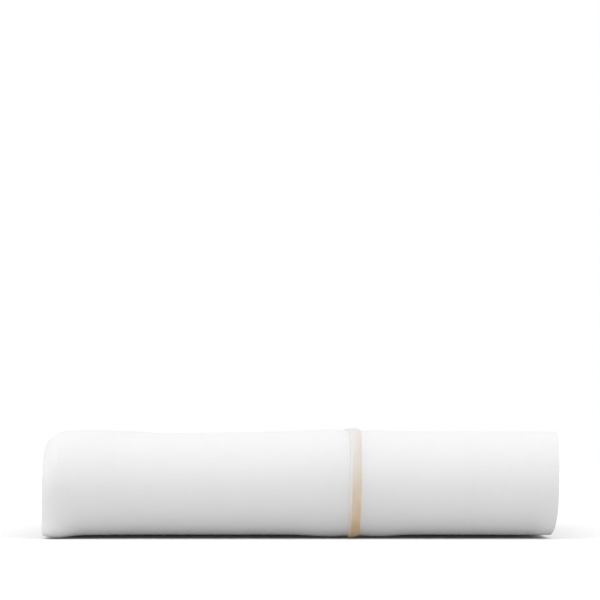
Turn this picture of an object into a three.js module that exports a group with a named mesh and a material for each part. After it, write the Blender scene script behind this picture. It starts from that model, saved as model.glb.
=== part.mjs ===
// A queen-size cotton flat sheet, folded for the shelf, with a corded line sewn across its cuff.
// The cloth is folded back and forth along its length into one long band. The band is folded back
// and forth, and then in half, so that the last fold makes the round front of the stack.
// Millimetres. +X runs along the front fold to the cuff's edge, +Y to the back, +Z up.
// Each real layer is under a millimetre: a ply here stands for two or three of them.

import * as THREE from "three";

// Driving dimensions of the stack
const WIDTH = 320;
const DEPTH = 300;
const HEIGHT = 66.5;
const BAND_COUNT = 8;
const PLIES = 3;
const GAP = 0.45;

// Sizes that follow from them
const BAND_PITCH = HEIGHT / BAND_COUNT;
const PLY_PITCH = BAND_PITCH / PLIES;
const PLY_THICK = PLY_PITCH - GAP;
const BAND_HALF = BAND_PITCH / 2 - GAP / 2;

// Corded line across the cuff
const CUFF = 126;
const TRIM_X = WIDTH - CUFF;
const TRIM_WIDE = 7;
const TRIM_HIGH = 0.95;
const TRIM_CLEAR = 0.32;
const TRIM_CROWN = 0.5;
const TRIM_END_IN = 3;
// The line shows on this many steps of the fold at the back before it goes into the stack
const TRIM_BACK_STEPS = 4;

// How far the folds of the cloth stop short of the stack's ends
const EDGE_TUCK = 3;
const LOOP_TUCK = 1.6;

// Steps along the round folds
const PLY_LOOP_STEPS = 4;
const BACK_STEPS = 6;

// The inner folds at the front are slack: they stop this much further back than they are deep
const FRONT_NEST = 1.2;

// The bands from the bottom up: how far each one's ends are set in from the stack's ends.
// Bands that a tight fold joins are set in alike.
const BANDS = [
  { left: 0.0, right: 0.0, back: 0.0 },
  { left: 0.8, right: 2.2, back: 3.0 },
  { left: 0.8, right: 2.2, back: 3.0 },
  { left: 1.1, right: 0.8, back: 7.0 },
  { left: 1.1, right: 0.8, back: 2.0 },
  { left: 1.1, right: 0.8, back: 2.0 },
  { left: 0.4, right: 0.0, back: 4.5 },
  { left: 0.4, right: 0.0, back: 4.5 },
];

// The order in which the cloth runs through the bands
const RUN = [0, 7, 6, 1, 2, 5, 4, 3];

// The front folds from the outermost in: where each is widest, as a share of its height,
// and how deep its lower and upper quarters are for their height
const FRONT_FOLDS = [
  { belly: 0.45, lowRound: 0.52, highRound: 1.0, steps: 14 },
  { belly: 0.45, lowRound: 0.72, highRound: 1.0, steps: 10 },
  { belly: 0.45, lowRound: 0.9, highRound: 1.0, steps: 8 },
  { belly: 0.5, lowRound: 1.0, highRound: 1.0, steps: 6 },
];

// Stations along X: the top's height, how far the underside is lifted off the surface, how far
// the front is drawn back, how far its foot comes forward from the undercut, and how far the
// underside curls up at the front
const STATIONS = [
  { x: 0, top: 59.5, lift: 1.8, drawn: 6, foot: 10, curl: 0 },
  { x: 4, top: 63, lift: 1.2, drawn: 2.6, foot: 11, curl: 0 },
  { x: 8, top: 65.4, lift: 0.7, drawn: 1.1, foot: 10, curl: 0.3 },
  { x: 13, top: 67.1, lift: 0, drawn: 0.4, foot: 7, curl: 1 },
  { x: 26, top: 67.2, lift: 0, drawn: 0, foot: 2.5, curl: 2.2 },
  { x: 70, top: 65.3, lift: 0, drawn: 0.3, foot: 0, curl: 2.4 },
  { x: 150, top: 66.6, lift: 0, drawn: 0.2, foot: 0, curl: 2.4 },
  { x: 181, top: 67.7, lift: 0.8, drawn: 0, foot: 0, curl: 0.6 },
  { x: 194, top: 66.9, lift: 1.27, drawn: 0.3, foot: 0, curl: 0.6 },
  { x: 206, top: 67.2, lift: 0.8, drawn: 0.2, foot: 0, curl: 0.6 },
  { x: 230, top: 66.6, lift: 0, drawn: 0, foot: 0, curl: 2.4 },
  { x: 300, top: 66.5, lift: 0, drawn: 0.3, foot: 0, curl: 2.2 },
  { x: 320, top: 66.4, lift: 1.4, drawn: 0.8, foot: 6, curl: 0.9 },
];

// The foot ends at this share of the height, and fades from front to back between two depths
const FOOT_HIGH = 0.45;
const FOOT_FADE = [20, 140];

// The curl lies low: it falls off with the height by this power, and from front to back between
// two depths. The underside is flat from the second depth to the back.
const CURL_LOW = 8;
const CURL_FADE = [18, 52];

// How far the right end is set in at shares of the height, and where along X that starts
const RIGHT_END = [
  { share: 0, setIn: 5.0 },
  { share: 0.06, setIn: 3.4 },
  { share: 0.14, setIn: 2.2 },
  { share: 0.28, setIn: 1.1 },
  { share: 0.55, setIn: 0.5 },
  { share: 0.85, setIn: -0.2 },
  { share: 1, setIn: -1.0 },
];
const RIGHT_END_START = 250;

// How far the corded line strays along X: at the bottom, at the top and, on top of that, halfway
const TRIM_STRAY = { bottom: -1.4, top: 0.3, halfway: 0.6 };

const { lerp, smoothstep } = THREE.MathUtils;
const bandHeight = (band) => (band + 0.5) * BAND_PITCH;

// The value of one column of a table at any place, with the rows in order of `by`
function valueAt(rows, by, place, column) {
  const after = rows.findIndex((row) => row[by] >= place);
  if (after <= 0) return rows.at(after)[column];
  const [low, high] = [rows[after - 1], rows[after]];
  return lerp(low[column], high[column], (place - low[by]) / (high[by] - low[by]));
}

// The tidy stack, settled to its uneven outline
function settle(x, y, z) {
  const atX = (column) => valueAt(STATIONS, "x", x, column);
  const share = (z - GAP / 2) / (HEIGHT - GAP);
  const below = THREE.MathUtils.clamp(1 - share / FOOT_HIGH, 0, 1);
  const foot = atX("foot") * below ** 3 * (1 - smoothstep(y, ...FOOT_FADE));
  const low = THREE.MathUtils.clamp(1 - share, 0, 1) ** CURL_LOW;
  const curl = atX("curl") * low * (1 - smoothstep(y, ...CURL_FADE));
  const setIn = valueAt(RIGHT_END, "share", share, "setIn") * smoothstep(x, RIGHT_END_START, WIDTH);
  const depth = (DEPTH - y) * (1 - atX("drawn") / DEPTH) + foot;
  const height = lerp(atX("lift"), atX("top"), share) + curl;
  return [x - setIn, DEPTH - depth, Math.max(0, height)];
}

// One vector for each point of a line: its left-hand normal, lengthened where the line bends
function miters(points) {
  return points.map((point, i) => {
    const before = points[Math.max(i, 1)].clone().sub(points[Math.max(i, 1) - 1]).normalize();
    const next = Math.min(i, points.length - 2);
    const after = points[next + 1].clone().sub(points[next]).normalize();
    const along = before.clone().add(after).normalize();
    return new THREE.Vector2(-along.y, along.x).divideScalar(along.dot(after));
  });
}

// Half a turn from -90 to 90 degrees, as points of (y, z) or (x, n)
function halfTurn(steps, pointAt) {
  return Array.from({ length: steps + 1 }, (_, i) => pointAt(Math.PI * (i / steps - 0.5)));
}

// The front fold that joins two bands, from the lower one to the upper one
function frontFold(lower) {
  const fold = FRONT_FOLDS[lower];
  const inset = bandHeight(lower);
  const low = (HEIGHT - 2 * inset) * fold.belly;
  const high = HEIGHT - 2 * inset - low;
  return halfTurn(fold.steps, (angle) => {
    const rise = angle < 0 ? low : high;
    const reach = angle < 0 ? low * fold.lowRound : high * fold.highRound;
    const y = inset * FRONT_NEST + reach * (1 - Math.cos(angle));
    return new THREE.Vector2(y, inset + low + rise * Math.sin(angle));
  });
}

// The back fold that joins two neighbouring bands, from the lower one to the upper one
function backFold(lower) {
  const radius = BAND_PITCH / 2;
  const middle = DEPTH - BANDS[lower].back - BAND_HALF - radius;
  const height = bandHeight(lower) + radius;
  return halfTurn(BACK_STEPS, (angle) => {
    return new THREE.Vector2(middle + radius * Math.cos(angle), height + radius * Math.sin(angle));
  });
}

// The depths of the underside's own points: its free edge, where the curl starts and halfway up it
function undersideDepths() {
  const [curlEnd, curlStart] = CURL_FADE;
  return [DEPTH - BANDS[RUN[0]].back, curlStart, (curlStart + curlEnd) / 2];
}

// The middle line of the band through the whole stack. Each point has its place (y, z)
// and how far the band's ends are set in there.
function bandPath() {
  const { left: firstLeft, right: firstRight } = BANDS[RUN[0]];
  const path = undersideDepths().map((depth) => {
    return { at: new THREE.Vector2(depth, bandHeight(RUN[0])), left: firstLeft, right: firstRight };
  });
  for (let i = 0; i < RUN.length - 1; i += 1) {
    const [from, to] = [RUN[i], RUN[i + 1]];
    const fold = i % 2 === 0 ? frontFold(Math.min(from, to)) : backFold(Math.min(from, to));
    if (from > to) fold.reverse();
    fold.forEach((at, step) => {
      const share = step / (fold.length - 1);
      const left = lerp(BANDS[from].left, BANDS[to].left, share);
      path.push({ at, left, right: lerp(BANDS[from].right, BANDS[to].right, share) });
    });
  }
  const last = RUN.at(-1);
  const tail = new THREE.Vector2(DEPTH - BANDS[last].back, bandHeight(last));
  path.push({ at: tail, left: BANDS[last].left, right: BANDS[last].right });
  const across = miters(path.map((point) => point.at));
  return path.map((point, i) => ({ ...point, across: across[i] }));
}

// The middle line of the cloth in one band, from the cuff's edge to the tucked-in edge
function plyLine() {
  const radius = PLY_PITCH / 2;
  const turnIn = radius + PLY_THICK / 2;
  const heights = Array.from({ length: PLIES }, (_, ply) => ((PLIES - 1) / 2 - ply) * PLY_PITCH);
  const line = [];
  heights.forEach((height, ply) => {
    const leftEnd = ply === PLIES - 1 ? EDGE_TUCK : turnIn;
    const rightEnd = ply === 0 ? WIDTH : WIDTH - LOOP_TUCK - turnIn;
    const between = STATIONS.map((row) => row.x).filter((x) => x > leftEnd + 1 && x < rightEnd - 1);
    const run = [leftEnd, ...between, rightEnd].map((x) => new THREE.Vector2(x, height));
    const leftward = ply % 2 === 0;
    line.push(...(leftward ? run.reverse() : run));
    if (ply === PLIES - 1) return;
    const end = line.at(-1);
    const side = leftward ? -1 : 1;
    const turn = halfTurn(PLY_LOOP_STEPS, (angle) => {
      const out = radius * Math.cos(angle) * side;
      return new THREE.Vector2(end.x + out, height - radius - radius * Math.sin(angle));
    });
    line.push(...turn.slice(1, -1));
  });
  return line;
}

// The closed outline of a line given a thickness: one side, then the other side backwards
function thicken(line, thickness) {
  const across = miters(line);
  const side = (sign) => line.map((p, i) => p.clone().addScaledVector(across[i], sign * thickness / 2));
  return [...side(-1), ...side(1).reverse()];
}

// Sweeps a closed outline of (x, n) along a path, where n is measured across the path.
// Every face is split along the same diagonal, whichever way the outline runs there, so that
// neighbouring plies bend alike. The outline's second half runs back beside its first, so each
// end is closed by a strip.
function sweep(outline, path, placeX) {
  const positions = [];
  path.forEach((point, step) => {
    outline.forEach(({ x, y: n }) => {
      const at = point.at.clone().addScaledVector(point.across, n);
      positions.push(...settle(placeX(x, point, step), at.x, at.y));
    });
  });
  const count = outline.length;
  const faces = [];
  for (let step = 0; step < path.length - 1; step += 1) {
    for (let i = 0; i < count; i += 1) {
      const next = (i + 1) % count;
      const [a, b] = [step * count + i, step * count + next];
      const [c, d] = [a + count, b + count];
      const rightward = outline[next].x > outline[i].x;
      faces.push(...(rightward ? [[a, c, b], [b, c, d]] : [[a, c, d], [a, d, b]]));
    }
  }
  const last = (path.length - 1) * count;
  for (let i = 0; i < count / 2 - 1; i += 1) {
    const [a, b, c, d] = [i, i + 1, count - 2 - i, count - 1 - i];
    faces.push([a, b, c], [a, c, d]);
    faces.push([last + a, last + c, last + b], [last + a, last + d, last + c]);
  }
  const geometry = new THREE.BufferGeometry();
  geometry.setAttribute("position", new THREE.Float32BufferAttribute(positions, 3));
  geometry.setIndex(faces.flat());
  return geometry;
}

// The whole cloth, cuff and hems included, as one back-and-forth solid
function sheetGeometry(path) {
  const inBand = (x, { left, right }) => left + (x / WIDTH) * (WIDTH - left - right);
  return sweep(thicken(plyLine(), PLY_THICK), path, inBand);
}

// The corded line on the outside of the stack: from the free edge at the back of the bottom,
// under it, round the front, over the top and down the fold at the back
function trimGeometry(path) {
  const half = TRIM_WIDE / 2;
  const base = BAND_HALF + TRIM_CLEAR;
  const shape = [[-half, 0], [half, 0], [half * TRIM_CROWN, 1], [-half * TRIM_CROWN, 1]];
  const outline = shape.map(([x, share]) => new THREE.Vector2(x, base + share * TRIM_HIGH));
  const frontFoldStart = undersideDepths().length;
  const backFoldStart = frontFoldStart + FRONT_FOLDS[0].steps + 1;
  const route = path.slice(0, backFoldStart + TRIM_BACK_STEPS + 1);
  route[0] = { ...route[0], at: route[0].at.clone().setX(route[0].at.x - TRIM_END_IN) };
  const strayAt = (step) => {
    const share = THREE.MathUtils.clamp((step - frontFoldStart) / FRONT_FOLDS[0].steps, 0, 1);
    const bow = 4 * share * (1 - share) * TRIM_STRAY.halfway;
    return lerp(TRIM_STRAY.bottom, TRIM_STRAY.top, share) + bow;
  };
  return sweep(outline, route, (x, point, step) => TRIM_X + x + strayAt(step));
}

function cloth(name, geometry, color, roughness) {
  const material = new THREE.MeshStandardMaterial({ color, roughness, metalness: 0 });
  const mesh = new THREE.Mesh(geometry, material);
  mesh.name = name;
  return mesh;
}

const path = bandPath();
const group = new THREE.Group();
group.add(cloth("sheet", sheetGeometry(path), 0xf3f3f1, 0.85));
group.add(cloth("trim", trimGeometry(path), 0xc6b08c, 0.6));

// The origin is the middle of the footprint
const middle = new THREE.Box3().setFromObject(group).getCenter(new THREE.Vector3());
group.position.set(-middle.x, -middle.y, 0);

export default group;
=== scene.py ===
"""A queen-size cotton flat sheet, folded for the shelf, with a corded line sewn across its cuff.

The cloth is one thin sheet with eight plies in each band. The band runs back and forth and in
half through the stack, as the solid does. Cloth sizes here are in millimetres, in the solid's
own frame: x from the folded left end, y from the front fold, z from the surface. place() turns
them into metres in the shared frame. Lengths in the materials and the studio are in metres, but
for the camera's lens.
"""

import math

import bpy
import numpy as np
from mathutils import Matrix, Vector


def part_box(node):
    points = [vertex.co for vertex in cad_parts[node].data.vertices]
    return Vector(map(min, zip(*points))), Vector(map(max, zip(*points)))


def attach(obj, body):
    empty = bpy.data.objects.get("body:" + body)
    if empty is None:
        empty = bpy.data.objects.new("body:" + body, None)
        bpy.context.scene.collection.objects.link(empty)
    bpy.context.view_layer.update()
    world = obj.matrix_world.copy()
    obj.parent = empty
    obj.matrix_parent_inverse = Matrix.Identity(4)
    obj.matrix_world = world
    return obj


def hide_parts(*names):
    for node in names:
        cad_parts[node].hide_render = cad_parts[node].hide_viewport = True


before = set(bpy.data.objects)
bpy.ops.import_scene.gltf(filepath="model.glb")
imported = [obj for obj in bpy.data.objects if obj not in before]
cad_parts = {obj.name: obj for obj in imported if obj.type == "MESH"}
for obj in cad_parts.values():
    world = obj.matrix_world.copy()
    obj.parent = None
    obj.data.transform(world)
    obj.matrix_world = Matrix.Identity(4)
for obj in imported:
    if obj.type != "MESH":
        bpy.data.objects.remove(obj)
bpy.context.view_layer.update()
sheet_low, sheet_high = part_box("sheet")

MM = 0.001

# The stack
WIDTH = 320.0
DEPTH = 300.0
HEIGHT = 66.5
BAND_COUNT = 8
BAND_PITCH = HEIGHT / BAND_COUNT
BAND_GAP = 0.45
BAND_HALF = (BAND_PITCH - BAND_GAP) / 2

# The plies in one band, the outermost just inside its two sides
PLIES = 8
PLY_REACH = BAND_HALF - 0.06
PLY_PITCH = 2 * PLY_REACH / (PLIES - 1)

# Where two plies are joined, the loop is this share of the height it has, and this long.
# LOOP_CLEAR parts the end loops from the free edges beside them.
LOOP_FILL = 0.96
LOOP_LONG = 1.3
LOOP_CLEAR = 0.2
LOOP_FADE = (3.0, 18.0)
LOOP_STEPS = 6

# How far each loop and free edge stops short of the band's end
LEFT_TIPS = [0.0, 0.9, 0.3, 1.3]
RIGHT_TIPS = [0.0, 1.5, 0.6, 2.0, 0.9]

# Stations of the cloth's mesh along x. The outermost ply also has fine ones, one step apart.
# All of them stay STATION_CLEAR inside the ply's two ends.
PLY_STATIONS = np.array([4.0, 7, 11, 16, 24, 40, 70, 110, 150, 172, 183, 194, 205, 220, 245, 280])
FINE_STEP = 3.0
FINE_START = 9.0
STATION_CLEAR = 0.4

# Points along the cuff's underside and the tail hem, and steps round the folded edge of each
CUFF_POINTS = 12
TAIL_POINTS = 4
TURN_STEPS = 4

# Hems and cuff, turned in the same cloth
CUFF = 126.0
TRIM_X = WIDTH - CUFF
CUFF_HEM_PAST = 3.0
TAIL_HEM = 25.0
HEM_APART = 0.42
CUFF_APART = 0.5

# A side hem from its raw edge to its fold: how far each row lies in from the fold's edge,
# and how far under the cloth. The cloth itself starts HEM_TURN in.
HEM_TURN = 0.21
HEM_ROWS = [
    {"inward": 13.0, "under": 0.42},
    {"inward": 6.5, "under": 0.42},
    {"inward": 0.21, "under": 0.42},
    {"inward": 0.06, "under": 0.36},
    {"inward": 0.0, "under": 0.21},
    {"inward": 0.06, "under": 0.06},
]

# The plies aren't quite even at the band's two free ends, at the back of the stack
EDGE_RAGGED = 1.0
EDGE_WAVE = 140.0
EDGE_EASE = (30.0, 90.0)

# The bands from the bottom up: how far each one's ends are set in from the stack's ends
BANDS = [
    {"left": 0.0, "right": 0.0, "back": 0.0},
    {"left": 0.8, "right": 2.2, "back": 3.0},
    {"left": 0.8, "right": 2.2, "back": 3.0},
    {"left": 1.1, "right": 0.8, "back": 7.0},
    {"left": 1.1, "right": 0.8, "back": 2.0},
    {"left": 1.1, "right": 0.8, "back": 2.0},
    {"left": 0.4, "right": 0.0, "back": 4.5},
    {"left": 0.4, "right": 0.0, "back": 4.5},
]

# The order in which the cloth runs through the bands
RUN = [0, 7, 6, 1, 2, 5, 4, 3]

# The front folds from the outermost in: where each is widest, as a share of its height,
# and how deep its lower and upper quarters are for their height
FRONT_FOLDS = [
    {"belly": 0.45, "low_round": 0.52, "high_round": 1.0, "steps": 44},
    {"belly": 0.45, "low_round": 0.72, "high_round": 1.0, "steps": 22},
    {"belly": 0.45, "low_round": 0.9, "high_round": 1.0, "steps": 16},
    {"belly": 0.5, "low_round": 1.0, "high_round": 1.0, "steps": 12},
]
FRONT_NEST = 1.2
BACK_STEPS = 12

# Steps along each straight stretch, in the order of the run. The top has the most.
ARM_STEPS = [12, 84, 5, 5, 5, 5, 5, 5]

# Stations along x: the top's height, how far the underside is lifted off the surface, how far
# the front is drawn back, how far its foot comes forward from the undercut, and how far the
# underside curls up at the front
STATIONS = [
    {"x": 0, "top": 59.5, "lift": 1.8, "drawn": 6, "foot": 10, "curl": 0},
    {"x": 4, "top": 63, "lift": 1.2, "drawn": 2.6, "foot": 11, "curl": 0},
    {"x": 8, "top": 65.4, "lift": 0.7, "drawn": 1.1, "foot": 10, "curl": 0.3},
    {"x": 13, "top": 67.1, "lift": 0, "drawn": 0.4, "foot": 7, "curl": 1},
    {"x": 26, "top": 67.2, "lift": 0, "drawn": 0, "foot": 2.5, "curl": 2.2},
    {"x": 70, "top": 65.3, "lift": 0, "drawn": 0.3, "foot": 0, "curl": 2.4},
    {"x": 150, "top": 66.6, "lift": 0, "drawn": 0.2, "foot": 0, "curl": 2.4},
    {"x": 181, "top": 67.7, "lift": 0.8, "drawn": 0, "foot": 0, "curl": 0.6},
    {"x": 194, "top": 66.9, "lift": 1.27, "drawn": 0.3, "foot": 0, "curl": 0.6},
    {"x": 206, "top": 67.2, "lift": 0.8, "drawn": 0.2, "foot": 0, "curl": 0.6},
    {"x": 230, "top": 66.6, "lift": 0, "drawn": 0, "foot": 0, "curl": 2.4},
    {"x": 300, "top": 66.5, "lift": 0, "drawn": 0.3, "foot": 0, "curl": 2.2},
    {"x": 320, "top": 66.4, "lift": 1.4, "drawn": 0.8, "foot": 6, "curl": 0.9},
]

# The foot ends at this share of the height, falls off towards it by this power, and fades from
# front to back between two depths
FOOT_HIGH = 0.45
FOOT_LOW = 3
FOOT_FADE = (20.0, 140.0)

# The curl lies low: it falls off with the height by this power, and from front to back
# between two depths
CURL_LOW = 8
CURL_FADE = (18.0, 52.0)

# How far the right end is set in at shares of the height, and where along x that starts
RIGHT_END = [
    {"share": 0, "in": 5.0},
    {"share": 0.06, "in": 3.4},
    {"share": 0.14, "in": 2.2},
    {"share": 0.28, "in": 1.1},
    {"share": 0.55, "in": 0.5},
    {"share": 0.85, "in": -0.2},
    {"share": 1, "in": -1.0},
]
RIGHT_END_START = 250.0

# Soft troughs pressed into the outer cloth. along is the distance along the band from the raw
# edge of the side hem in the bottom one; turn is the trough's angle to the front fold, in
# degrees. Into the stack a trough gets e times shallower for each TROUGH_SINKS.
TROUGHS = [
    {"x": 96, "along": 406, "long": 70, "wide": 5, "deep": 0.30, "turn": 4},
    {"x": 150, "along": 470, "long": 90, "wide": 7, "deep": 0.35, "turn": -82},
    {"x": 262, "along": 455, "long": 60, "wide": 6, "deep": 0.30, "turn": 76},
    {"x": 60, "along": 540, "long": 80, "wide": 6, "deep": 0.35, "turn": 12},
    {"x": 250, "along": 560, "long": 55, "wide": 5, "deep": 0.28, "turn": -20},
    {"x": 120, "along": 345, "long": 60, "wide": 4, "deep": 0.14, "turn": 1},
    {"x": 270, "along": 352, "long": 45, "wide": 4, "deep": 0.12, "turn": -2},
]
TROUGH_SINKS = 6.0

# The corded line: how far out from the band's middle its crown, its base and its sunk ends lie.
# It strays along x at the bottom, at the top and, on top of that, halfway, and goes on a few
# steps round the back fold.
TRIM_WIDE = 7.0
TRIM_STANDS = BAND_HALF + 1.27
TRIM_BASE = BAND_HALF + 0.06
TRIM_SINKS = BAND_HALF - 0.34
TRIM_STRAY = {"bottom": -1.4, "top": 0.3, "halfway": 0.6}
TRIM_BACK_STEPS = 8

# The line's section: places across it, from -1 to 1, and heights from its base to its crown.
# Its left three fifths stand proud, and it slopes down softly on the right.
TRIM_PROFILE = [
    {"x": -1.0, "high": 0.0},
    {"x": -0.95, "high": 0.3},
    {"x": -0.86, "high": 0.6},
    {"x": -0.73, "high": 0.84},
    {"x": -0.56, "high": 0.96},
    {"x": -0.3, "high": 1.0},
    {"x": 0.0, "high": 0.98},
    {"x": 0.18, "high": 0.9},
    {"x": 0.34, "high": 0.76},
    {"x": 0.52, "high": 0.62},
    {"x": 0.7, "high": 0.46},
    {"x": 0.84, "high": 0.3},
    {"x": 0.94, "high": 0.14},
    {"x": 1.0, "high": 0.0},
]

# The line gets this much higher, as a share, from the bottom of the front fold to its top
TRIM_GROWS = 0.41

BLACK = (0, 0, 0, 1)
WHITE = (1, 1, 1, 1)

# The cotton's weave and colours. A noise scale is for a metre of the flat cloth from head to
# tail, and for one from side to side. The third is unused, as the flat cloth has no depth.
WEAVE_PITCH = 0.00028
CLOTH_DULL = (0.825, 0.825, 0.825, 1)
CLOTH_BRIGHT = (0.86, 0.86, 0.86, 1)
CLOTH_ROUGH = (0.72, 0.9)
CLOTH_SHEEN = 0.25
CLOTH_SHEEN_ROUGH = 0.5
CLOTH_SHINE = 0.25
SLUB_SCALE = (60, 1400, 1)
CROSS_SLUB_SCALE = (1400, 60, 1)
CREASE_SCALE = (45, 22, 1)
CREASE_DETAIL = 4.0
WAVE_SCALE = (9, 14, 1)
WAVE_DETAIL = 1.0

# How deep each of the cotton's reliefs is
WAVE_RELIEF = 0.0008
CREASE_RELIEF = 0.00035
SLUB_RELIEF = 0.00003
WEAVE_RELIEF = 0.00004

# The stitched line's threads and colours, and the colours of its painted highlight for the threads
# and for the cord along its left edge. The cord ends at CORD_EDGE, a share of the way over the line.
# A noise scale is for the whole way over, and for a metre along the line.
STITCH_PITCH = 0.00042
CORD_EDGE = 0.26
THREAD_DARK = (0.79, 0.51, 0.23, 1)
THREAD_LIGHT = (0.90, 0.64, 0.33, 1)
THREAD_HIGHLIT = (0.87, 0.855, 0.83, 1)
CORD_HIGHLIT = (0.93, 0.895, 0.84, 1)
STITCH_ROUGH = (0.42, 0.62)
STITCH_SHEEN = 0.4
STITCH_SHEEN_ROUGH = 0.4
STITCH_SHINE = 0.8
SWAY_SCALE = (2, 260, 1)
THREAD_SCALE = (1.5, 2400, 1)
PATCH_SCALE = (2, 90, 1)
STITCH_RELIEF = 0.00012
THREAD_RELIEF = 0.00004

# Painted highlight: the threads turn pale towards this height, where the light from above washes them
# out, quickly at first, in patches, and more on the left
HIGHLIGHT_HIGH = 0.066
HIGHLIGHT_BEND = 0.72
HIGHLIGHT_UNEVEN = 0.4
HIGHLIGHT_LEFT = 0.36

# How far the floor reaches each way, its colours as the camera sees it, with a faint glow, and
# its colour as it lights the cloth
FLOOR_REACH = 3.0
FLOOR_DULL = (0.96, 0.96, 0.96, 1)
FLOOR_BRIGHT = (0.99, 0.99, 0.99, 1)
FLOOR_GLOW = 0.03
FLOOR_BOUNCE = (0.47, 0.47, 0.47, 1)
FLOOR_ROUGH = (0.85, 0.95)
GRAIN_SCALE = (6, 6, 6)
GRAIN_DETAIL = 3.0

# The camera: how far aside and in front of the stack and how high it is, how many degrees it
# looks up, and its lens in millimetres
CAMERA_ASIDE = -0.0008
CAMERA_AWAY = 1.5915
CAMERA_HIGH = 0.0648
CAMERA_PITCH = 2.975
CAMERA_LENS = 154.8

# The dome's middling strength, how much brighter it is at its brightest, and where that is
SKY_EVEN = 0.82
SKY_RISE = 0.44
SKY_TOWARDS = (0.0, -0.5, 0.87)

# Two low square lights, one off each end of the stack, and where each is turned to
LIGHTS = [
    {"name": "left_fill", "at": (-1.5, -0.4, 0.13), "to": (0.0, 0.0, 0.03), "wide": 0.45, "power": 5.0},
    {"name": "right_fill", "at": (1.5, -0.4, 0.24), "to": (0.0, 0.0, 0.03), "wide": 0.45, "power": 3.2},
]


def band_height(band):
    return (band + 0.5) * BAND_PITCH


def column(rows, name):
    return np.array([float(row[name]) for row in rows])


def smooth_between(x, knots, values):
    """A smooth line through the knots, flat at each high or low one."""
    slopes = np.diff(values) / np.diff(knots)
    product = slopes[:-1] * slopes[1:]
    total = slopes[:-1] + slopes[1:]
    inner = np.where(product > 0, 2 * product / np.where(product > 0, total, 1.0), 0.0)
    tangents = np.concatenate(([slopes[0]], inner, [slopes[-1]]))
    i = np.clip(np.searchsorted(knots, x) - 1, 0, len(knots) - 2)
    step = knots[i + 1] - knots[i]
    t = np.clip((x - knots[i]) / step, 0, 1)
    low = values[i] * (1 + 2 * t) + tangents[i] * step * t
    high = values[i + 1] * (3 - 2 * t) - tangents[i + 1] * step * (1 - t)
    return low * (1 - t) ** 2 + high * t**2


def smooth_step(x, start, end):
    t = np.clip((x - start) / (end - start), 0, 1)
    return t * t * (3 - 2 * t)


def settle(x, y, z):
    """The tidy stack, settled to its uneven outline."""
    knots = column(STATIONS, "x")
    names = ("top", "lift", "drawn", "foot", "curl")
    top, lift, drawn, foot, curl = (smooth_between(x, knots, column(STATIONS, n)) for n in names)
    share = (z - BAND_GAP / 2) / (HEIGHT - BAND_GAP)
    foot = foot * np.clip(1 - share / FOOT_HIGH, 0, 1) ** FOOT_LOW * (1 - smooth_step(y, *FOOT_FADE))
    curl = curl * np.clip(1 - share, 0, 1) ** CURL_LOW * (1 - smooth_step(y, *CURL_FADE))
    set_in = smooth_between(share, column(RIGHT_END, "share"), column(RIGHT_END, "in"))
    set_in = set_in * smooth_step(x, RIGHT_END_START, WIDTH)
    settled_y = DEPTH - (DEPTH - y) * (1 - drawn / DEPTH) - foot
    return x - set_in, settled_y, np.maximum(0, lift + share * (top - lift) + curl)


def place(x, y, z):
    """Metres in the shared frame for millimetres in the solid's own."""
    return np.stack([sheet_low.x + x * MM, sheet_high.y - (DEPTH - y) * MM, z * MM], axis=-1)


def miters(points):
    """The left-hand normal at each point of a line, lengthened where the line bends."""
    legs = np.diff(points, axis=0)
    legs /= np.linalg.norm(legs, axis=1, keepdims=True)
    before = np.vstack([legs[:1], legs])
    after = np.vstack([legs, legs[-1:]])
    along = before + after
    along /= np.linalg.norm(along, axis=1, keepdims=True)
    across = np.stack([-along[:, 1], along[:, 0]], axis=1)
    return across / np.sum(along * after, axis=1, keepdims=True)


def front_fold(lower):
    """The front fold that joins two bands, as points (y, z) from the lower one up."""
    fold = FRONT_FOLDS[lower]
    inset = band_height(lower)
    low = (HEIGHT - 2 * inset) * fold["belly"]
    high = HEIGHT - 2 * inset - low
    angle = np.linspace(-math.pi / 2, math.pi / 2, fold["steps"] + 1)
    rise = np.where(angle < 0, low, high)
    reach = np.where(angle < 0, low * fold["low_round"], high * fold["high_round"])
    y = inset * FRONT_NEST + reach * (1 - np.cos(angle))
    return np.stack([y, inset + low + rise * np.sin(angle)], axis=1)


def back_fold(lower):
    """The back fold that joins two neighbouring bands, as points (y, z) from the lower one up."""
    radius = BAND_PITCH / 2
    middle = DEPTH - BANDS[lower]["back"] - BAND_HALF - radius
    height = band_height(lower) + radius
    angle = np.linspace(-math.pi / 2, math.pi / 2, BACK_STEPS + 1)
    return np.stack([middle + radius * np.cos(angle), height + radius * np.sin(angle)], axis=1)


def straight(start, end, steps):
    """The points between two ends, without the ends."""
    share = np.linspace(0, 1, steps + 1)[1:-1, None]
    return np.asarray(start) * (1 - share) + np.asarray(end) * share


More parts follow.
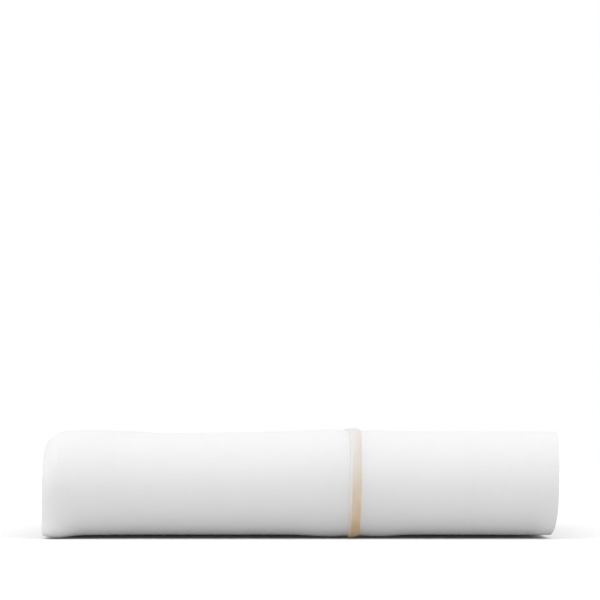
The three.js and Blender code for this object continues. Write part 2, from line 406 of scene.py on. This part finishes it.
def band_path():
    """The band's middle line through the whole stack: its points (y, z), the direction across
    the band at each, how far its ends are set in, and how far a side hem lies under the cloth."""
    back = {band: DEPTH - BANDS[band]["back"] - HEM_TURN for band in (RUN[0], RUN[-1])}
    points = [np.array([[back[RUN[0]], band_height(RUN[0])]])]
    left = [np.array([BANDS[RUN[0]]["left"]])]
    right = [np.array([BANDS[RUN[0]]["right"]])]
    for i, (start, end) in enumerate(zip(RUN[:-1], RUN[1:])):
        fold = (front_fold if i % 2 == 0 else back_fold)(min(start, end))
        fold = fold if start < end else fold[::-1]
        arm = straight(points[-1][-1], fold[0], ARM_STEPS[i])
        share = np.concatenate([np.zeros(len(arm)), np.linspace(0, 1, len(fold))])
        points.append(np.vstack([arm, fold]))
        left.append(BANDS[start]["left"] * (1 - share) + BANDS[end]["left"] * share)
        right.append(BANDS[start]["right"] * (1 - share) + BANDS[end]["right"] * share)
    tail = np.array([back[RUN[-1]], band_height(RUN[-1])])
    points.append(np.vstack([straight(points[-1][-1], tail, ARM_STEPS[-1]), tail]))
    left.append(np.full(len(points[-1]), BANDS[RUN[-1]]["left"]))
    right.append(np.full(len(points[-1]), BANDS[RUN[-1]]["right"]))
    line = np.vstack(points)
    hem = np.stack([HEM_TURN - column(HEM_ROWS, "inward"), np.zeros(len(HEM_ROWS))], axis=1)
    widths = (len(hem), len(hem))
    across = np.pad(miters(line), (widths, (0, 0)), mode="edge")
    left = np.pad(np.concatenate(left), widths, mode="edge")
    right = np.pad(np.concatenate(right), widths, mode="edge")
    under = np.pad(np.zeros(len(line)), widths)
    under[: len(hem)] = column(HEM_ROWS, "under")
    under[-len(hem) :] = column(HEM_ROWS, "under")[::-1]
    return np.vstack([line[0] + hem, line, line[-1] + hem[::-1]]), across, left, right, under


def loop_heights(first, high, low):
    """Where the plies lie at an end where they're joined in pairs, the first pair from `first`:
    the loops are plump there and fill the band from `high` to `low`."""
    heights = PLY_REACH - PLY_PITCH * np.arange(PLIES)
    pairs = (PLIES - first) // 2
    pitch = (high - low) / pairs
    for pair in range(pairs):
        middle = high - pitch * (pair + 0.5)
        heights[first + 2 * pair] = middle + LOOP_FILL * pitch / 2
        heights[first + 2 * pair + 1] = middle - LOOP_FILL * pitch / 2
    return heights


def turn_points(start, end, bulge, steps):
    """The points (x, n) of a round turn between two ends that lie above each other."""
    angle = np.linspace(-math.pi / 2, math.pi / 2, steps + 1)[1:-1]
    x = start[0] + (end[0] - start[0]) * (1 + np.sin(angle)) / 2 + bulge * np.cos(angle)
    n = start[1] + (end[1] - start[1]) * (1 + np.sin(angle)) / 2
    return np.stack([x, n], axis=1)


def ply_section():
    """The cloth's line (x, n) in one band, from the cuff hem's raw edge to the tail hem's."""
    middle = PLY_REACH - PLY_PITCH * np.arange(PLIES)
    at_left = loop_heights(0, BAND_HALF, -BAND_HALF)
    cuff_under = PLY_REACH - CUFF_APART
    tail_over = HEM_APART - PLY_REACH
    at_right = loop_heights(1, cuff_under - LOOP_CLEAR, tail_over + LOOP_CLEAR)
    edge = WIDTH - CUFF_APART / 2
    hem = np.linspace(TRIM_X - CUFF_HEM_PAST, edge, CUFF_POINTS)
    pieces = [np.stack([hem, np.full(len(hem), cuff_under)], axis=1)]
    pieces.append(turn_points(pieces[0][-1], (edge, PLY_REACH), CUFF_APART / 2, TURN_STEPS))
    fine = np.arange(FINE_START, WIDTH - FINE_STEP, FINE_STEP)
    for ply in range(PLIES):
        left_tip = LEFT_TIPS[ply // 2]
        right_tip = RIGHT_TIPS[(ply + 1) // 2]
        low_x = left_tip + LOOP_LONG
        high_x = edge if ply == 0 else WIDTH - right_tip - LOOP_LONG
        inner = np.union1d(fine, PLY_STATIONS) if ply == 0 else PLY_STATIONS
        inner = inner[(inner > low_x + STATION_CLEAR) & (inner < high_x - STATION_CLEAR)]
        x = np.concatenate([[low_x], inner, [high_x]])
        near_left = 1 - smooth_step(x - left_tip, *LOOP_FADE)
        near_right = 1 - smooth_step(WIDTH - right_tip - x, *LOOP_FADE)
        n = middle[ply] + near_left * (at_left[ply] - middle[ply])
        n = n + near_right * (at_right[ply] - middle[ply])
        run = np.stack([x, n], axis=1)
        run = run[::-1] if ply % 2 == 0 else run
        if ply:
            bulge = LOOP_LONG if ply % 2 == 0 else -LOOP_LONG
            pieces.append(turn_points(pieces[-1][-1], run[0], bulge, LOOP_STEPS))
        pieces.append(run)
    end = pieces[-1][-1]
    back = end + np.array([0.0, HEM_APART])
    pieces.append(turn_points(end, back, HEM_APART / 2, TURN_STEPS))
    tail = np.linspace(end[0], end[0] - TAIL_HEM, TAIL_POINTS)
    pieces.append(np.stack([tail, np.full(len(tail), back[1])], axis=1))
    return np.vstack(pieces)


def trough_depth(x, along):
    """How far the troughs sink the outer cloth at a place across and along it."""
    depth = np.zeros_like(x)
    for row in TROUGHS:
        turn = math.radians(row["turn"])
        across, onward = x - row["x"], along - row["along"]
        ahead = 2 * (across * math.cos(turn) + onward * math.sin(turn)) / row["long"]
        aside = 2 * (onward * math.cos(turn) - across * math.sin(turn)) / row["wide"]
        depth += row["deep"] * np.exp(-(ahead**2) - aside**2)
    return depth


def lengths(*parts):
    """The distance along a line of points, given its coordinates one by one."""
    legs = np.sqrt(sum(np.diff(part) ** 2 for part in parts))
    return np.concatenate([[0.0], np.cumsum(legs)])


def in_band(x, left, right):
    return left + x / WIDTH * (WIDTH - left - right)


def build_mesh(name, points, faces, flat, uv_name, material):
    """A smooth mesh from points in metres, with a flat place (u, v) for every face corner."""
    mesh = bpy.data.meshes.new(name)
    mesh.from_pydata(points.tolist(), [], faces)
    uv_layer = mesh.uv_layers.new(name=uv_name)
    uv_layer.data.foreach_set("uv", np.asarray(flat, dtype=np.float32).ravel())
    mesh.polygons.foreach_set("use_smooth", np.ones(len(faces), dtype=bool))
    mesh.materials.append(material)
    mesh.update()
    piece = bpy.data.objects.new(name, mesh)
    bpy.context.scene.collection.objects.link(piece)
    return piece


def grid_faces(rows, columns):
    """The four-sided faces of a grid of points, row by row."""
    corner = np.arange(rows * columns).reshape(rows, columns)
    ring = [corner[:-1, :-1], corner[1:, :-1], corner[1:, 1:], corner[:-1, 1:]]
    return np.stack(ring, axis=-1).reshape(-1, 4)


def folded_cloth(material):
    """The whole cloth, cuff and hems included, and its flat size in metres."""
    section = ply_section()
    wrong_side = miters(section)
    line, across, left, right, under = band_path()
    along = lengths(line[:, 0], line[:, 1], under)
    width = lengths(section[:, 0], section[:, 1])
    x = section[None, :, 0] + under[:, None] * wrong_side[None, :, 0]
    n = section[None, :, 1] + under[:, None] * wrong_side[None, :, 1]
    x = in_band(x, left[:, None], right[:, None])
    n = n - trough_depth(x, along[:, None]) * np.exp((n - BAND_HALF) / TROUGH_SINKS)
    y = line[:, None, 0] + across[:, None, 0] * n
    z = line[:, None, 1] + across[:, None, 1] * n
    free = np.minimum(along, along[-1] - along)[:, None]
    ragged = EDGE_RAGGED * (1 + np.sin(width / EDGE_WAVE))[None, :]
    y = y - ragged * (1 - smooth_step(free, *EDGE_EASE))
    points = place(*settle(x, y, z)).reshape(-1, 3)
    faces = grid_faces(len(line), len(section))
    flat = np.stack(np.broadcast_arrays(width[None, :], along[:, None]), axis=-1).reshape(-1, 2) * MM
    size = (along[-1] * MM, width[-1] * MM)
    return build_mesh("folded_sheet", points, faces.tolist(), flat[faces], "flat_cut", material), size


def fold_share(start, end):
    """How far up the outermost front fold each point of the band's line is, from 0 to 1."""
    fold_start = len(HEM_ROWS) + ARM_STEPS[0]
    return np.clip((np.arange(start, end) - fold_start) / FRONT_FOLDS[0]["steps"], 0, 1)


def trim_route(share):
    """How far the corded line strays along x at shares of the way up the front fold."""
    bow = 4 * share * (1 - share) * TRIM_STRAY["halfway"]
    return TRIM_STRAY["bottom"] * (1 - share) + TRIM_STRAY["top"] * share + bow


def corded_line(name, start, end, material):
    """A stretch of the corded line on the band's outside, between two points of its path.
    Both ends sink into the cloth."""
    line, across, left, right, _ = (part[start:end] for part in band_path())
    share = fold_share(start, end)
    stray = trim_route(share)
    rows = TRIM_PROFILE
    high = column(rows, "high") * (TRIM_STANDS - TRIM_BASE)
    sunk = np.ones(end - start)
    sunk[0] = sunk[-1] = 0
    n = TRIM_BASE + high[None, :] * (1 + TRIM_GROWS * share[:, None])
    n = TRIM_SINKS + (n - TRIM_SINKS) * sunk[:, None]
    x = TRIM_X + stray[:, None] + column(rows, "x")[None, :] * TRIM_WIDE / 2
    x = in_band(x, left[:, None], right[:, None])
    y = line[:, None, 0] + across[:, None, 0] * n
    z = line[:, None, 1] + across[:, None, 1] * n
    points = place(*settle(x, y, z)).reshape(-1, 3)
    top = line + across * TRIM_STANDS
    along = lengths(top[:, 0], top[:, 1]) * MM
    over = lengths(column(rows, "x") * TRIM_WIDE / 2, high) * MM
    faces = grid_faces(len(line), len(rows))
    flat = np.stack(np.broadcast_arrays(over[None, :] / over[-1], along[:, None]), axis=-1)
    return build_mesh(name, points, faces.tolist(), flat.reshape(-1, 2)[faces], "stitch", material)


def add_node(tree, kind, **settings):
    made = tree.nodes.new(kind)
    for name, value in settings.items():
        setattr(made, name, value)
    return made


def feed(tree, socket, value):
    """Links an output into a socket, or sets the socket's own value."""
    if isinstance(value, bpy.types.NodeSocket):
        tree.links.new(value, socket)
    else:
        socket.default_value = value


def calculate(tree, operation, first, second=0.0):
    made = add_node(tree, "ShaderNodeMath", operation=operation)
    feed(tree, made.inputs[0], first)
    feed(tree, made.inputs[1], second)
    return made.outputs[0]


def wave(tree, distance, pitch):
    """A sine from 0 to 1 of a distance in metres."""
    turned = calculate(tree, "SINE", calculate(tree, "MULTIPLY", distance, 2 * math.pi / pitch))
    return calculate(tree, "ADD", calculate(tree, "MULTIPLY", turned, 0.5), 0.5)


def noise(tree, place_from, scale, detail=2.0):
    """Soft noise, with a scale for each axis."""
    mapped = add_node(tree, "ShaderNodeMapping")
    feed(tree, mapped.inputs["Vector"], place_from)
    feed(tree, mapped.inputs["Scale"], scale)
    made = add_node(tree, "ShaderNodeTexNoise")
    feed(tree, made.inputs["Vector"], mapped.outputs[0])
    feed(tree, made.inputs["Scale"], 1.0)
    feed(tree, made.inputs["Detail"], detail)
    return made.outputs[0]


def ramp(tree, amount, low, high, start=0.3, end=0.7):
    """A colour between two, as the amount goes from start to end."""
    made = add_node(tree, "ShaderNodeValToRGB")
    made.color_ramp.elements[0].position = start
    made.color_ramp.elements[0].color = low
    made.color_ramp.elements[1].position = end
    made.color_ramp.elements[1].color = high
    feed(tree, made.inputs[0], amount)
    return made.outputs[0]


def mix(tree, share, first, second):
    """A colour between two colours, which may be outputs or fixed ones. The node keeps its
    colours in inputs 6 and 7 and output 2."""
    made = add_node(tree, "ShaderNodeMix", data_type="RGBA")
    feed(tree, made.inputs[0], share)
    feed(tree, made.inputs[6], first)
    feed(tree, made.inputs[7], second)
    return made.outputs[2]


def spread(tree, amount, low, high):
    """The amount from 0 to 1 turned into a value from low to high."""
    return calculate(tree, "ADD", calculate(tree, "MULTIPLY", amount, high - low), low)


def bump(tree, height, distance, under=None):
    made = add_node(tree, "ShaderNodeBump")
    feed(tree, made.inputs["Distance"], distance)
    feed(tree, made.inputs["Height"], height)
    if under is not None:
        feed(tree, made.inputs["Normal"], under)
    return made.outputs[0]


def new_material(name):
    material = bpy.data.materials.new(name)
    material.use_nodes = True
    shader = next(n for n in material.node_tree.nodes if n.type == "BSDF_PRINCIPLED")
    return material, material.node_tree, shader


def cotton():
    """Fine plain-woven white cotton with a faint sheen."""
    material, tree, shader = new_material("white_cotton")
    flat = add_node(tree, "ShaderNodeUVMap", uv_map="flat_cut").outputs[0]
    split = add_node(tree, "ShaderNodeSeparateXYZ")
    feed(tree, split.inputs[0], flat)
    weft = wave(tree, split.outputs[0], WEAVE_PITCH)
    warp = wave(tree, split.outputs[1], WEAVE_PITCH)
    weave = calculate(tree, "MULTIPLY", weft, warp)
    slubs = noise(tree, flat, SLUB_SCALE)
    cross_slubs = noise(tree, flat, CROSS_SLUB_SCALE)
    threads = calculate(tree, "ADD", slubs, cross_slubs)
    creases = noise(tree, flat, CREASE_SCALE, CREASE_DETAIL)
    waves = noise(tree, flat, WAVE_SCALE, WAVE_DETAIL)
    mottle = calculate(tree, "MULTIPLY", calculate(tree, "ADD", threads, creases), 1 / 3)
    feed(tree, shader.inputs["Base Color"], ramp(tree, mottle, CLOTH_DULL, CLOTH_BRIGHT))
    feed(tree, shader.inputs["Roughness"], spread(tree, slubs, *CLOTH_ROUGH))
    feed(tree, shader.inputs["Sheen Weight"], CLOTH_SHEEN)
    feed(tree, shader.inputs["Sheen Roughness"], CLOTH_SHEEN_ROUGH)
    feed(tree, shader.inputs["Specular IOR Level"], CLOTH_SHINE)
    relief = bump(tree, waves, WAVE_RELIEF)
    relief = bump(tree, creases, CREASE_RELIEF, relief)
    relief = bump(tree, threads, SLUB_RELIEF, relief)
    feed(tree, shader.inputs["Normal"], bump(tree, weave, WEAVE_RELIEF, relief))
    return material


def satin_stitch():
    """Beige threads laid side by side across the line, with a cord along its left edge. A painted
    highlight turns the threads pale towards the top of the stack, and the cord paler still.
    """
    material, tree, shader = new_material("beige_satin_stitch")
    flat = add_node(tree, "ShaderNodeUVMap", uv_map="stitch").outputs[0]
    split = add_node(tree, "ShaderNodeSeparateXYZ")
    feed(tree, split.inputs[0], flat)
    over, along = split.outputs[0], split.outputs[1]
    sway = noise(tree, flat, SWAY_SCALE)
    swayed = calculate(tree, "ADD", along, calculate(tree, "MULTIPLY", sway, STITCH_PITCH))
    slanted = calculate(tree, "ADD", swayed, calculate(tree, "MULTIPLY", over, STITCH_PITCH))
    threads = wave(tree, slanted, STITCH_PITCH)
    each = noise(tree, flat, THREAD_SCALE)
    patches = noise(tree, flat, PATCH_SCALE)
    tone = calculate(tree, "MULTIPLY", calculate(tree, "ADD", each, patches), 0.5)
    # Painted highlight: the threads turn pale with height up the stack, in patches and more on the
    # left, standing in for the light from above.
    height = add_node(tree, "ShaderNodeSeparateXYZ")
    feed(tree, height.inputs[0], add_node(tree, "ShaderNodeTexCoord").outputs["Object"])
    rise = calculate(tree, "MULTIPLY", height.outputs[2], 1 / HIGHLIGHT_HIGH)
    rise = calculate(tree, "POWER", calculate(tree, "MAXIMUM", rise, 0.0), HIGHLIGHT_BEND)
    rise = calculate(tree, "MULTIPLY", rise, spread(tree, over, 1 + HIGHLIGHT_LEFT / 2, 1 - HIGHLIGHT_LEFT / 2))
    rise = calculate(tree, "ADD", rise, spread(tree, patches, -HIGHLIGHT_UNEVEN / 2, HIGHLIGHT_UNEVEN / 2))
    painted_highlight = ramp(tree, rise, BLACK, WHITE, 0.0, 1.0)
    colour = mix(tree, painted_highlight, ramp(tree, tone, THREAD_DARK, THREAD_LIGHT), THREAD_HIGHLIT)
    # Painted highlight on the cord along the left edge, paler still, only where the threads turn pale.
    edge = calculate(tree, "MULTIPLY", calculate(tree, "LESS_THAN", over, CORD_EDGE), painted_highlight)
    feed(tree, shader.inputs["Base Color"], mix(tree, edge, colour, CORD_HIGHLIT))
    feed(tree, shader.inputs["Roughness"], spread(tree, each, *STITCH_ROUGH))
    feed(tree, shader.inputs["Sheen Weight"], STITCH_SHEEN)
    feed(tree, shader.inputs["Sheen Roughness"], STITCH_SHEEN_ROUGH)
    feed(tree, shader.inputs["Specular IOR Level"], STITCH_SHINE)
    relief = bump(tree, threads, STITCH_RELIEF)
    feed(tree, shader.inputs["Normal"], bump(tree, each, THREAD_RELIEF, relief))
    return material


def pale_floor():
    """A matt floor that the camera sees as near white and that lights the cloth as mid grey."""
    material, tree, shader = new_material("pale_floor")
    where = add_node(tree, "ShaderNodeTexCoord").outputs["Object"]
    grain = noise(tree, where, GRAIN_SCALE, GRAIN_DETAIL)
    rays = add_node(tree, "ShaderNodeLightPath")
    seen = ramp(tree, grain, FLOOR_DULL, FLOOR_BRIGHT)
    colour = mix(tree, rays.outputs["Is Camera Ray"], FLOOR_BOUNCE, seen)
    feed(tree, shader.inputs["Base Color"], colour)
    feed(tree, shader.inputs["Roughness"], spread(tree, grain, *FLOOR_ROUGH))
    feed(tree, shader.inputs["Specular IOR Level"], 0.0)
    feed(tree, shader.inputs["Emission Color"], WHITE)
    glow = calculate(tree, "MULTIPLY", rays.outputs["Is Camera Ray"], FLOOR_GLOW)
    feed(tree, shader.inputs["Emission Strength"], glow)
    return material


def add_floor():
    """A square floor that the stack rests on, which isn't part of it."""
    corners = np.array([[-1, -1, 0], [1, -1, 0], [1, 1, 0], [-1, 1, 0]]) * FLOOR_REACH
    flat = corners[:, :2]
    floor = build_mesh("floor", corners, [[0, 1, 2, 3]], flat, "plain", pale_floor())


def light_world():
    """A soft dome of light, brighter overhead and in front, with plain white for the camera."""
    world = bpy.data.worlds.new("studio")
    world.use_nodes = True
    tree = world.node_tree
    tree.nodes.clear()
    nearness = add_node(tree, "ShaderNodeVectorMath", operation="DOT_PRODUCT")
    feed(tree, nearness.inputs[0], add_node(tree, "ShaderNodeTexCoord").outputs["Generated"])
    feed(tree, nearness.inputs[1], SKY_TOWARDS)
    strength = spread(tree, nearness.outputs["Value"], SKY_EVEN, SKY_EVEN + SKY_RISE)
    glow = add_node(tree, "ShaderNodeBackground")
    feed(tree, glow.inputs["Strength"], strength)
    backdrop = add_node(tree, "ShaderNodeBackground")
    for background in (glow, backdrop):
        feed(tree, background.inputs["Color"], WHITE)
    rays = add_node(tree, "ShaderNodeLightPath")
    choice = add_node(tree, "ShaderNodeMixShader")
    feed(tree, choice.inputs[0], rays.outputs["Is Camera Ray"])
    feed(tree, choice.inputs[1], glow.outputs[0])
    feed(tree, choice.inputs[2], backdrop.outputs[0])
    feed(tree, add_node(tree, "ShaderNodeOutputWorld").inputs[0], choice.outputs[0])
    bpy.context.scene.world = world


def add_light(row):
    """A square area light, turned to where its row says."""
    light = bpy.data.lights.new(row["name"], "AREA")
    light.size = row["wide"]
    light.energy = row["power"]
    lamp = bpy.data.objects.new(row["name"], light)
    lamp.location = row["at"]
    lamp.rotation_euler = (Vector(row["to"]) - Vector(row["at"])).to_track_quat("-Z", "Y").to_euler()
    bpy.context.scene.collection.objects.link(lamp)


def add_camera():
    """The camera, looking at the front fold from far off and a little upwards."""
    data = bpy.data.cameras.new("camera")
    data.lens = CAMERA_LENS
    camera = bpy.data.objects.new("camera", data)
    camera.location = (CAMERA_ASIDE, sheet_low.y - CAMERA_AWAY, CAMERA_HIGH)
    camera.rotation_euler = (math.radians(90 + CAMERA_PITCH), 0.0, 0.0)
    bpy.context.scene.collection.objects.link(camera)
    bpy.context.scene.camera = camera


add_camera()
cloth, flat_size = folded_cloth(cotton())
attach(cloth, "root")
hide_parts("sheet")

stitches = satin_stitch()
top_end = len(HEM_ROWS) + ARM_STEPS[0] + FRONT_FOLDS[0]["steps"] + ARM_STEPS[1] + 1
outer_line = corded_line("corded_line", len(HEM_ROWS) + 1, top_end + TRIM_BACK_STEPS, stitches)
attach(outer_line, "root")
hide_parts("trim")

add_floor()
light_world()
for row in LIGHTS:
    add_light(row)
bpy.context.scene.view_settings.view_transform = "Standard"
